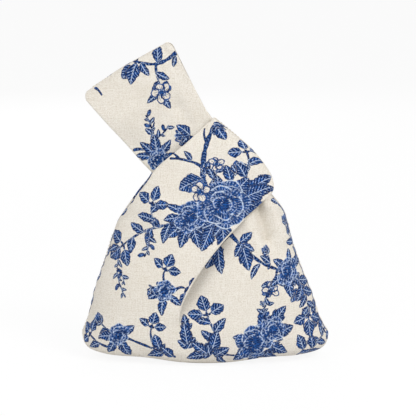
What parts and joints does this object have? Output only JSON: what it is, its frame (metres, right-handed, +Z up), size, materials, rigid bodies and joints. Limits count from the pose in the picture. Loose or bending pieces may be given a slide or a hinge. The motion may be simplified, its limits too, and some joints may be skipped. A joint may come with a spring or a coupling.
{
  "type": "knot bag",
  "caption": "Lined canvas knot bag with a printed floral: a wide pouch that closes when its long handle is drawn through the loop of its short one.",
  "frame": {"origin": "on the floor under the middle of the bag's outline", "axes": "+Z up, +X to the right of someone who faces the front, -Y out of the front"},
  "size_m": [0.2129, 0.092, 0.2701],
  "materials": {
    "canvas": "matte slubbed cotton and linen canvas with a blue print",
    "lining": "matte plain cotton",
    "thread": "spun sewing thread"
  },
  "bodies": {
    "bag": {"front_panel_outer": "canvas", "back_panel_outer": "canvas", "front_panel_lining": "lining", "back_panel_lining": "lining", "left_side_seam_thread": "thread", "right_side_seam_thread": "thread", "base_seam_thread": "thread", "short_handle_join_thread": "thread"},
    "long_handle_neck": {"handle_neck_front_outer": "canvas", "handle_neck_back_outer": "canvas", "handle_neck_front_lining": "lining", "handle_neck_back_lining": "lining"},
    "long_handle_loop": {"handle_loop_front_outer": "canvas", "handle_loop_back_outer": "canvas", "handle_loop_front_lining": "lining", "handle_loop_back_lining": "lining", "long_handle_join_thread": "thread"}
  },
  "joints": [
    {"name": "long_handle_draw", "type": "slide", "parent": "bag", "child": "long_handle_neck", "axis": [-0.625, 0, 0.7806], "range_m": [0, 0.02]},
    {"name": "long_handle_fold", "type": "hinge", "parent": "long_handle_neck", "child": "long_handle_loop", "pos_m": [-0.02651, 0, 0.18863], "axis": [0.7604, 0, 0.6494], "range_deg": [-110, 110]}
  ]
}
